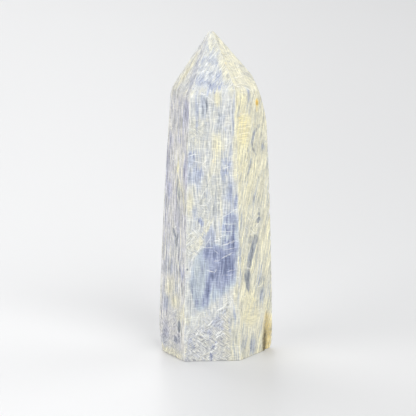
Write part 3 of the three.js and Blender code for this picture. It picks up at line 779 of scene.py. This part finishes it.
# %% The map that carries the spots
# A mark at this height on a shown side lands at the base of the side behind it.
TURNED_HEIGHT = 79.0


def spot_map(points, side):
    """side_map for the shown sides; the back sides borrow the opposite side's, turned over."""
    mapped = side_map(points, side)
    if 3 <= side < BASE_SIDE:
        mapped = mapped * (-1, -1, 0) + (0, TURNED_HEIGHT, SPACING * (side - 3))
    return mapped


# %% [markdown]
# The bundles of blades stand nearly upright, but not quite. On the right-hand side they lean by
# almost twenty degrees. A second map is turned by each side's lean, so that its second number always
# runs along the blades.

# %% The map that follows the blades
BLADE_LEAN = {0: -2, 1: 1, 2: 18, 3: -6, 4: 8, 5: -14, BASE_SIDE: 30}


def set_upright(across, up, lean):
    """Map coordinates turned until what leans to the right by so many degrees stands upright."""
    turn = math.radians(lean)
    return across * math.cos(turn) - up * math.sin(turn), across * math.sin(turn) + up * math.cos(turn)


def blade_map(points, side):
    """side_map turned until the side's blades are upright."""
    mapped = side_map(points, side)
    upright = set_upright(mapped[..., 0], mapped[..., 1], BLADE_LEAN[side])
    return np.stack([*upright, mapped[..., 2]], axis=-1)


# %% [markdown]
# ## Relief
# A lap never leaves a perfect plane. The sides roll by a few hundredths of a millimetre, blades of
# unlike hardness stand at unlike heights, and cracks are open grooves. The relief only cuts inwards,
# because polishing only takes stone away.

# %% Smooth random values in space
LATTICE = 64


def value_noise(points, seed):
    """Smoothly blended random values from 0 to 1 on a lattice of whole numbers."""
    table = np.random.default_rng(seed).random((LATTICE, LATTICE, LATTICE))
    cell = np.floor(points).astype(int)
    part = points - cell
    part = part * part * (3 - 2 * part)
    total = 0.0
    for corner in np.ndindex(2, 2, 2):
        index = (cell + corner) % LATTICE
        weight = np.where(corner, part, 1 - part).prod(axis=-1)
        total = total + weight * table[index[..., 0], index[..., 1], index[..., 2]]
    return total


# Each kind of unevenness: its depth and its size in mm, and its seed. The first is the roll that the
# lap leaves, the second follows bundles of blades, and the third single blades.
UNEVENNESS = [
    (0.05, (9.0, 9.0, 14.0), 1),
    (0.05, (1.1, 1.1, 7.0), 2),
    (0.03, (0.6, 0.6, 2.4), 3),
]
cut = sum(depth * value_noise(stone_points / size, seed) for depth, size, seed in UNEVENNESS)

# %% [markdown]
# A crack is an open groove under its white line. The grid can't carry one as fine as the line, so a
# groove is never narrower than the grid's own squares.

# %% Grooves of the cracks
GROOVE_DEPTH = 0.07
LEAST_HALF_WIDTH = 0.28
# Grooves and chips end this far out, in parts of their size, and are full one part further in.
GROOVE_END = 1.3
CHIP_END = 1.4


def groove_depth(mapped, strokes):
    """1 along a side's strokes and 0 away from them."""
    depth = np.zeros(mapped.shape[:-1])
    for across, up, half_width, half_length, lean, amount in strokes:
        beside, beyond = set_upright(mapped[..., 0] - across, mapped[..., 1] - up, lean)
        reach = np.hypot(beside / max(half_width, LEAST_HALF_WIDTH), beyond / half_length)
        depth = np.maximum(depth, amount * np.clip(GROOVE_END - reach, 0, 1))
    return depth


for side in range(6):
    here = column_side == side
    mapped = spot_map(stone_points[:, here], side)
    strokes = CRACKS_AND_GLINTS[SHOWN_SIDES[side % 3]]
    cut[:, here] += GROOVE_DEPTH * groove_depth(mapped, strokes)
print("relief of the sides down to", round(float(cut.max()), 3), "mm")

# %% [markdown]
# The flake split off along uneven blades, so its bed is rougher than any lapped side. Small chips have
# broken out of the sharp edges, most of them on the right one.

# %% The flake's bed and the chips
BED_ROUGHNESS = 0.18
ON_THE_BED = 0.02
from_split = np.abs(stone_points @ plane_normals[split].T - plane_reaches[split]).min(axis=-1)
bed = from_split < ON_THE_BED
cut += bed * BED_ROUGHNESS * value_noise(stone_points / (0.7, 0.7, 1.1), 4)

# Where each chip is, how far it reaches and how deep it goes, in mm.
CHIPS = [
    (13.4, 0.9, 40.1, 0.6, 0.30),
    (13.6, 0.9, 34.9, 0.8, 0.30),
    (13.8, 0.9, 28.2, 0.6, 0.25),
    (13.9, 1.0, 24.3, 0.4, 0.15),
    (13.9, 1.0, 12.0, 0.5, 0.18),
    (1.5, -11.4, 0.0, 0.5, 0.40),
    (-3.4, -11.5, 0.0, 0.4, 0.20),
    (-12.9, -1.2, 0.0, 0.9, 0.25),
    (-13.7, -0.3, 4.6, 0.6, 0.20),
    (-10.9, -0.2, 65.4, 0.5, 0.12),
    (5.0, 10.9, 0.0, 0.8, 0.30),
    (-6.3, 10.9, 3.0, 0.6, 0.20),
    (7.4, 11.0, 22.0, 0.5, 0.22),
]
for x, y, z, reach, depth in CHIPS:
    apart = np.linalg.norm(stone_points - (x, y, z), axis=-1) / reach
    cut = np.maximum(cut, depth * np.clip(CHIP_END - apart, 0, 1))
cut[:BASE_ROWS] = 0.0
print(int(bed.sum()), "points on the flake's bed, and", len(CHIPS), "chips")

# %% [markdown]
# Each point also keeps a number for a painted highlight along the upright edges: 1 on an upright
# edge and 0 from a third of a millimetre away. The relief then goes in along the grid's own normals,
# and the carved stone is kept within the box of the CAD model.

# %% A painted highlight along the edges, and the carved stone
EDGE_HIGHLIGHT_WIDTH = 0.35


def grid_normals(points):
    """Outward normals of the grid from its neighbours up and around."""
    around = np.roll(points, -1, axis=1) - np.roll(points, 1, axis=1)
    upward = np.gradient(points, axis=0)
    normal = np.cross(around, upward)
    return normal / np.maximum(np.linalg.norm(normal, axis=-1, keepdims=True), 1e-9)


next_edge = np.roll(stone_points, -PER_SIDE, axis=1)
widths = np.linalg.norm(next_edge - stone_points, axis=-1)[:, ::PER_SIDE]
to_edge = np.minimum(share, 1 - share) * np.repeat(widths, PER_SIDE, axis=1)
edge_highlight_share = np.clip(1 - to_edge / EDGE_HIGHLIGHT_WIDTH, 0, 1)
edge_highlight_share[:BASE_ROWS] = 0.0

stone_points = stone_points - grid_normals(stone_points) * cut[..., None]
lowest, highest = np.array(cad_box) / MM
stone_points = np.clip(stone_points, lowest, highest)
print("relief from", round(float(cut.min()), 3), "to", round(float(cut.max()), 3), "mm deep")

# %% [markdown]
# The grid becomes a closed mesh. Each square of four neighbours is one face. A fan of triangles closes
# the middle of the base, where the innermost ring meets its middle point, and another closes the apex.

# %% The stone's faces
row, column = np.meshgrid(np.arange(ROWS - 1), np.arange(COLUMNS), indexing="ij")
beside = (column + 1) % COLUMNS
quads = np.stack([row * COLUMNS + column, row * COLUMNS + beside,
                  (row + 1) * COLUMNS + beside, (row + 1) * COLUMNS + column], axis=-1).reshape(-1, 4)
quad_side = np.where(row < BASE_ROWS, BASE_SIDE, column_side[column]).reshape(-1)

grid_points = stone_points.reshape(-1, 3)
foot_point, apex_point = len(grid_points), len(grid_points) + 1
points = np.concatenate([grid_points, [[0, 0, 0], stone_points[-1].mean(axis=0)]])
edge_highlight_share = np.concatenate([edge_highlight_share.ravel(), [0.0, 1.0]])
ring = np.arange(COLUMNS)
after = (ring + 1) % COLUMNS
last_row = (ROWS - 1) * COLUMNS
foot_fan = np.stack([np.full(COLUMNS, foot_point), after, ring], axis=-1)
apex_fan = np.stack([np.full(COLUMNS, apex_point), last_row + ring, last_row + after], axis=-1)
triangles = np.concatenate([foot_fan, apex_fan])
triangle_side = np.concatenate([np.full(COLUMNS, BASE_SIDE), column_side])
print(len(quads), "squares and", len(triangles), "triangles")

# %% [markdown]
# The finish needs the two maps at every corner of every face. They are stored per corner, because a
# point on an upright edge has a different place in the map of each of its two sides.

# %% The stone's mesh and its maps
stone_mesh = bpy.data.meshes.new("kyanite_stone")
stone_mesh.from_pydata(points * MM, [], quads.tolist() + triangles.tolist())
stone_mesh.shade_smooth()


def corner_maps(make_map):
    """A map's coordinates for every corner of every face, in the mesh's order."""
    parts = []
    for faces, sides in ((quads, quad_side), (triangles, triangle_side)):
        mapped = np.zeros((*faces.shape, 3))
        for side in range(BASE_SIDE + 1):
            here = sides == side
            mapped[here] = make_map(points[faces[here]], side)
        parts.append(mapped.reshape(-1, 3))
    return np.concatenate(parts)


for name, make_map in (("blade_mm", blade_map), ("spot_mm", spot_map)):
    attribute = stone_mesh.attributes.new(name, "FLOAT_VECTOR", "CORNER")
    attribute.data.foreach_set("vector", corner_maps(make_map).astype(np.float32).ravel())
edge_highlight_attribute = stone_mesh.attributes.new("painted_edge_highlight", "FLOAT", "POINT")
edge_highlight_attribute.data.foreach_set("value", edge_highlight_share.astype(np.float32))
stone = bpy.data.objects.new("kyanite_stone", stone_mesh)
bpy.context.scene.collection.objects.link(stone)
print("the stone's mesh has", 2 * len(quads) + len(triangles), "triangles")


# %% [markdown]
# ## Polished kyanite
# The finish is built from tone, a single number that runs from deep blue through grey-white to cream.
# Blades, fibres and spots add to it or take from it, and one colour ramp turns it into colour. Slate,
# ochre and rust are minerals of their own, so they are mixed in after that, and with them some painted
# shade and painted light. A second number, light, holds the fine light and dark of the hairs, which
# would look muddy if it changed the hue as well.

# %% Coordinates and textures for blades
kyanite, tree = new_material("polished kyanite")
blade_mm = add_node(tree, "ShaderNodeAttribute", {"attribute_name": "blade_mm"}, {}, "Vector")
spot_mm = add_node(tree, "ShaderNodeAttribute", {"attribute_name": "spot_mm"}, {}, "Vector")


def in_blades(where, width, length, lean=0.0):
    """Coordinates in which a blade of that size, in mm, and lean is one unit wide and long."""
    turn = (0.0, 0.0, -math.radians(lean))
    return where.node("ShaderNodeMapping", {"vector_type": "TEXTURE"},
                      {"Vector": where, "Rotation": turn, "Scale": (width, length, 10.0)})


def noise(where, detail=1.0):
    """A smooth random value, around a half."""
    inputs = {"Vector": where, "Scale": 1.0, "Detail": detail}
    return where.node("ShaderNodeTexNoise", None, inputs, "Fac")


def cells(where):
    """A random value for each blade, with angular borders."""
    inputs = {"Vector": where, "Scale": 1.0}
    return where.node("ShaderNodeTexVoronoi", {"distance": "CHEBYCHEV"}, inputs, "Color")


def rise(value, low, high, top=1.0):
    """A smooth step from 0 at low to top at high."""
    return value.node("ShaderNodeMapRange", {"interpolation_type": "SMOOTHSTEP", "clamp": False},
                      {"Value": value, "From Min": low, "From Max": high, "To Max": top})


def shifted(where, x, y):
    """where moved by signals or numbers, across and up."""
    move = where.node("ShaderNodeCombineXYZ", None, {"X": x, "Y": y})
    return where.node("ShaderNodeVectorMath", {"operation": "ADD"}, {0: where, 1: move})


def axis_of(where, axis):
    return where.node("ShaderNodeSeparateXYZ", None, {0: where}, axis)


def larger(first, second):
    return first.math("MAXIMUM", first, second)


def blend(first, second, share):
    return first + (second - first) * share


# %% [markdown]
# Three nodes draw a mark. The first moves and stretches the map until the mark's ellipse is a circle of
# radius one, the second measures the distance from its middle, and the third fades the mark out over
# its border. Leans are kept to steps of fifteen degrees, so that marks can share their turned maps.

# %% Marks drawn in the shader
TURN_STEP = 15


def draw(where, marks, soft, combine):
    """The sum or the maximum of all the marks' soft ellipses, on every side.

    The marks go into a node group, which keeps the material's own tree small and readable."""
    group = bpy.data.node_groups.new("marks", "ShaderNodeTree")
    group.interface.new_socket("Where", in_out="INPUT", socket_type="NodeSocketVector")
    group.interface.new_socket("Shade", in_out="OUTPUT", socket_type="NodeSocketFloat")
    outside, where = where, add_node(group, "NodeGroupInput")
    total = None
    turned = {}
    for side, name in enumerate(SHOWN_SIDES):
        for across, up, half_width, half_length, lean, amount in marks[name]:
            lean = TURN_STEP * round(lean / TURN_STEP)
            if lean not in turned:
                turned[lean] = where.node("ShaderNodeVectorRotate", {"rotation_type": "Z_AXIS"},
                                          {"Vector": where, "Angle": math.radians(lean)})
            beside, beyond = set_upright(across, up, lean)
            placed = where.node("ShaderNodeVectorMath", {"operation": "MULTIPLY_ADD"}, {
                0: turned[lean], 1: (1 / half_width, 1 / half_length, 1.0),
                2: (-beside / half_width, -beyond / half_length, -SPACING * side)})
            reach = where.node("ShaderNodeVectorMath", {"operation": "LENGTH"}, {0: placed}, "Value")
            shade = rise(reach, 1.0 + soft, 1.0 - soft, amount)
            total = shade if total is None else where.math(combine, total, shade)
    add_node(group, "NodeGroupOutput", None, {0: total})
    return outside.node("ShaderNodeGroup", {"node_tree": group}, {0: outside})


# %% [markdown]
# No real mark is a clean ellipse. Spots of colour end in torn fibres, so their map is pulled up and
# down by millimetres. Crisp marks only wander a little, so theirs is shaken by tenths. The back sides
# borrow the shown sides' marks, so slate, ribs, stains, rust and painted shadow are made fainter there.

# %% All the marks
ragged = noise(in_blades(spot_mm, 0.35, 9.0)) - 0.5
wander = noise(in_blades(spot_mm, 3.0, 3.0)) - 0.5
crumble = noise(in_blades(spot_mm, 0.9, 0.9)) - 0.5
torn_mm = shifted(spot_mm, wander * 0.9, ragged * 5.0)
near_mm = shifted(spot_mm, wander * 0.7, crumble * 0.7)

third = axis_of(blade_mm, "Z")
strength = 0.4 + 0.6 * rise(third, 2.6 * SPACING, 2.5 * SPACING)
# Each number below is how soft the marks' borders are, in parts of their size.
spots = draw(torn_mm, SPOTS, 0.45, "ADD")
greys_and_shadows = draw(near_mm, GREYS_AND_SHADOWS, 0.32, "MAXIMUM") * 1.25 * strength
warmth = draw(torn_mm, WARMTH, 0.60, "MAXIMUM")
cracks_and_glints = draw(near_mm, CRACKS_AND_GLINTS, 0.5, "MAXIMUM")
stains = draw(near_mm, STAINS, 0.5, "MAXIMUM") * strength
rust_and_step_shadow = draw(near_mm, RUST_AND_STEP_SHADOW, 0.6, "MAXIMUM") * strength
ribbed = draw(near_mm, RIBBED, 0.25, "MAXIMUM") * strength
pockets = draw(torn_mm, POCKETS, 0.4, "MAXIMUM")
painted_edge_highlight = add_node(tree, "ShaderNodeAttribute", {"attribute_name": "painted_edge_highlight"}, {}, "Fac")

# The big window ends below in a slanting line, where the crossed blades of the foot begin.
across = axis_of(near_mm, "X")
up = axis_of(near_mm, "Y")
windows = draw(near_mm, WINDOWS, 0.07, "MAXIMUM") * rise(up - across * 0.75, 13.6, 16.2)
print("nodes in each group of marks:", [len(group.nodes) for group in bpy.data.node_groups])

# %% [markdown]
# Blades are long cells of unlike tone, with finer fibres and hairs along them. Kyanite also parts
# straight across its blades, which leaves short pale lines. The same recipe makes the upright blades
# and the crossed ones, which are slimmer and much shorter.

# %% Blades, fibres and partings
sway = (noise(in_blades(blade_mm, 8.0, 14.0)) - 0.5) * 2.0
sway = sway + (noise(in_blades(blade_mm, 2.4, 2.8)) - 0.5) * 0.45
bent_mm = shifted(blade_mm, sway, 0.0)


def bladed(where, across_lean, slim, short, partings_share):
    """Tone of parallel blades, and the light and dark of the hairs and partings on them."""
    broad = cells(in_blades(where, 2.0 * slim, 9.0 * short)) - 0.5
    narrow = cells(in_blades(where, 0.8 * slim, 2.6 * short)) - 0.5
    fibres = noise(in_blades(where, 0.5 * slim, 9.0 * short)) - 0.5
    hairs = noise(in_blades(where, 0.24, 4.0 * short))
    partings = noise(in_blades(where, 1.5 * slim, 0.28, across_lean), 0.0)
    light = rise(hairs, 0.50, 0.64) * 0.9 - rise(hairs, 0.48, 0.34)
    light = light + rise(partings, 0.54, 0.68) * partings_share
    return broad * 0.12 + narrow * 0.10 + fibres * 0.28 + light * 0.05, light


# %% [markdown]
# Each shown side has a look of its own: the front parts most, and the left and right sides are more
# streaky. At the foot of the left and front sides, on the tip and in the pockets the blades cross:
# there a rough pattern decides which way each patch of them leans.

# %% Where the blades cross
right_side = rise(third, 1.5 * SPACING, 1.6 * SPACING) * rise(third, 2.5 * SPACING, 2.4 * SPACING)
left_side = rise(third, 0.5 * SPACING, 0.4 * SPACING)
narrow_sides = right_side + left_side

place = add_node(tree, "ShaderNodeTexCoord", None, {}, "Object")
height = axis_of(place, "Z") * (1 / MM)
ragged_height = height + (noise(in_blades(blade_mm, 2.0, 2.0), 2.0) - 0.5) * 8.0
low = rise(ragged_height - across * 0.5, 13.0, 9.0)
low = low * rise(across, 5.2, 3.8) * (1.0 - right_side * 0.8)
tip = rise(ragged_height, 64.0, 68.0)
crossed = larger(larger(low, tip), pockets)

# The patches lean by 50 degrees one way or 55 the other. On the tip and the right side they agree.
tilt = noise(in_blades(blade_mm, 2.2, 2.2))
tilt = tilt.math("GREATER_THAN", tilt, 0.48) * 105.0 - 55.0
tilt = blend(tilt, left_side * 50.0 - 40.0, tip)
tilt = blend(tilt, 80.0, right_side - right_side * pockets)
tilted_mm = blade_mm.node("ShaderNodeVectorRotate", {"rotation_type": "Z_AXIS"},
                          {"Vector": bent_mm, "Angle": tilt * (-math.pi / 180)})

partings_share = (0.85 - narrow_sides * 0.6) * (0.4 + strength * 0.6)
upright_tone, upright_light = bladed(bent_mm, 0.0, 1.0, 1.0, partings_share)
crossed_tone, crossed_light = bladed(tilted_mm, -15.0, 0.75, 0.35, 0.6)

# %% [markdown]
# Over the blades lie a fine grain, cloudy mottling and long pale and dark streaks. The tip has pale
# patches, and ribbed places show level ribs in place of the hairs. Looking into a clear window, hairs
# and mottling are softer.

# %% Light, and tone
grain = noise(in_blades(blade_mm, 0.3, 0.3)) - 0.5
mottle = noise(in_blades(spot_mm, 0.6, 1.0), 2.0) - 0.5
streaks = noise(in_blades(bent_mm, 0.9, 11.0), 2.0) - 0.5
patches = rise(noise(in_blades(spot_mm, 1.3, 1.7)), 0.50, 0.64) * tip
ribs = noise(in_blades(shifted(spot_mm, 0.0, across * 0.12), 3.5, 0.3))
ribs = rise(ribs, 0.40, 0.60) - 0.5

upright_light = upright_light * (1.15 - windows * 0.25 + right_side * 0.15 + left_side)
crossed_light = crossed_light * (1.5 - tip * 0.6 - right_side * 0.3) - low * 0.5
light = blend(upright_light, crossed_light, crossed)
light = light + grain * 1.4 + mottle * (2.4 - windows * 1.8 + narrow_sides)
light = light + streaks * (right_side * 4.0 + left_side * 4.8) + patches * 0.4
light = blend(light, ribs * 1.2 + mottle * 2.4 + grain * 1.4, ribbed)

tone = blend(upright_tone * (1.0 + narrow_sides * 0.6), crossed_tone, crossed) + spots * 0.8
tone = tone + 0.57 - windows * 0.17 + right_side * 0.05
tone = tone + streaks * narrow_sides * 0.25 + patches * 0.04 + ribbed * right_side * 0.09

# %% [markdown]
# The ramp holds the colours of clear, cloudy and creamy kyanite. A tint then warms the iron-tinted
# regions, makes the left side and the foot a little rosy, and keeps the clear windows a pure blue.

# %% Colour of the kyanite itself
PLAIN = (1.0, 1.0, 1.0, 1)
IRON_TINT = (1.06, 1.0, 0.765, 1)
ROSY_DEEP, ROSY_PALE = (1.11, 1.03, 1.035, 1), (1.065, 1.03, 1.01, 1)
CLEAR_DEEP, CLEAR_PALE = (1.03, 1.02, 1.07, 1), (1.0, 1.04, 1.01, 1)

tone_colour = tone.node("ShaderNodeValToRGB", {"stops": [
    (0.00, (0.12, 0.15, 0.25)),
    (0.15, (0.22, 0.26, 0.38)),
    (0.30, (0.36, 0.40, 0.52)),
    (0.42, (0.48, 0.52, 0.60)),
    (0.54, (0.575, 0.60, 0.625)),
    (0.64, (0.64, 0.65, 0.625)),
    (0.74, (0.685, 0.685, 0.62)),
    (0.84, (0.74, 0.735, 0.63)),
    (0.93, (0.80, 0.785, 0.62)),
    (1.00, (0.86, 0.83, 0.60)),
]}, {"Fac": tone}, "Color")


def mixed(factor, first, second):
    """Colours from the first at factor 0 to the second at factor 1."""
    inputs = {"Factor": factor, 6: first, 7: second}
    return factor.node("ShaderNodeMix", {"data_type": "RGBA"}, inputs, 2)


warm = larger(warmth * 0.9, right_side * 0.75 + left_side * 0.3) + 0.05
warm = warm * rise(tone, 0.30, 0.60)
tint = mixed(warm, PLAIN, IRON_TINT)
rosy = mixed(rise(tone, 0.40, 0.66), ROSY_DEEP, ROSY_PALE)
rosy_left = left_side - left_side * larger(warmth, tip * 0.6)
tint = mixed(larger(rosy_left, low * 0.35), tint, rosy)
clear_blue = mixed(rise(tone, 0.22, 0.40), CLEAR_DEEP, CLEAR_PALE)
tint = mixed(windows, tint, clear_blue)
tinted = tone.node("ShaderNodeVectorMath", {"operation": "MULTIPLY"}, {0: tone_colour, 1: tint})

# %% [markdown]
# Slate, ochre stain and rust lie over the kyanite, and none of them covers it evenly. Slate also paints
# the shade in a pit and beside the foot's slashes, and the darkest brown along the flake's step is painted
# shadow. The tip is painted a little lighter, as if lit from above. Cracks end up white, partly because
# light scatters in broken stone and partly as painted glints, and the upright edges get a painted
# highlight.

# %% Other minerals, cracks, edges, and painted light and shade
SLATE_AND_SHADOW = (0.20, 0.225, 0.265, 1)
OCHRE = (0.83, 0.65, 0.25, 1)
ORANGE = (0.86, 0.56, 0.10, 1)
RUST_AND_SHADOW_BROWN = (0.13, 0.10, 0.03, 1)
CRACK_AND_GLINT_WHITE = (0.93, 0.93, 0.90, 1)

broken = rise(noise(in_blades(spot_mm, 0.5, 0.5), 2.0), 0.36, 0.56)
# Slate also stands for the painted shade of a pit and of the gaps beside the foot's slashes.
slated_and_shaded = mixed(greys_and_shadows * (1.0 - light * 0.16), tinted, SLATE_AND_SHADOW)
ochre = mixed(rise(stains, 1.0, 1.4), OCHRE, ORANGE)
stained = mixed(stains * (0.6 + 0.4 * broken), slated_and_shaded, ochre)
rusted_and_shaded = mixed(rust_and_step_shadow * (0.7 + 0.3 * broken), stained, RUST_AND_SHADOW_BROWN)

# The tip is made lighter as painted light from above, and the right and left sides a little darker. The
# light number adds the lightness of hairs and grain.
lightness_and_lit_tip = 0.995 + tip * 0.055 - right_side * 0.03 - left_side * 0.005 + light * 0.185
lit_colour = tone.node("ShaderNodeVectorMath", {"operation": "SCALE"}, {0: rusted_and_shaded, "Scale": lightness_and_lit_tip})

# The white of the cracks is partly the white of broken stone and partly painted glints.
crack_white_and_highlights = cracks_and_glints * (0.4 + 0.6 * broken) * (0.9 - narrow_sides * 0.35)
# Along the upright edges the colour is whitened as a painted highlight.
crack_white_and_highlights = larger(crack_white_and_highlights, painted_edge_highlight * broken * 0.3)
colour = mixed(crack_white_and_highlights, lit_colour, CRACK_AND_GLINT_WHITE)

# %% [markdown]
# A lap with fine oxide leaves a soft polish, duller where the stone is cracked or stained. Fibres and
# grain too fine for the mesh go into a faint bump, less than a tenth of a millimetre deep. A little
# light enters the stone and comes out close by, which softens it as in any pale mineral.

# %% Gloss, fine relief and the finished material
BUMP_HEIGHT = 0.08 * MM
roughness = 0.24 + crack_white_and_highlights * 0.25 + stains * 0.35
fine_relief = noise(in_blades(bent_mm, 0.3, 3.0), 2.0) + noise(in_blades(bent_mm, 0.8, 0.8), 2.0) * 0.7
bump = tone.node("ShaderNodeBump", None,
                 {"Strength": 1.0, "Distance": BUMP_HEIGHT, "Height": fine_relief})
finish_material(tree, {
    "Base Color": colour,
    "Roughness": roughness,
    "Normal": bump,
    "IOR": 1.72,
    "Subsurface Weight": 0.08,
    "Subsurface Radius": (0.9, 1.0, 1.2),
    "Subsurface Scale": 0.7 * MM,
})
stone_mesh.materials.append(kyanite)
print("the finish has", len(tree.nodes), "nodes")

# %% [markdown]
# The stone rides on the part's only body and stands for its only node.

# %% Hand the stone over to the frame
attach(stone, "root")
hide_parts("kyanite_point")
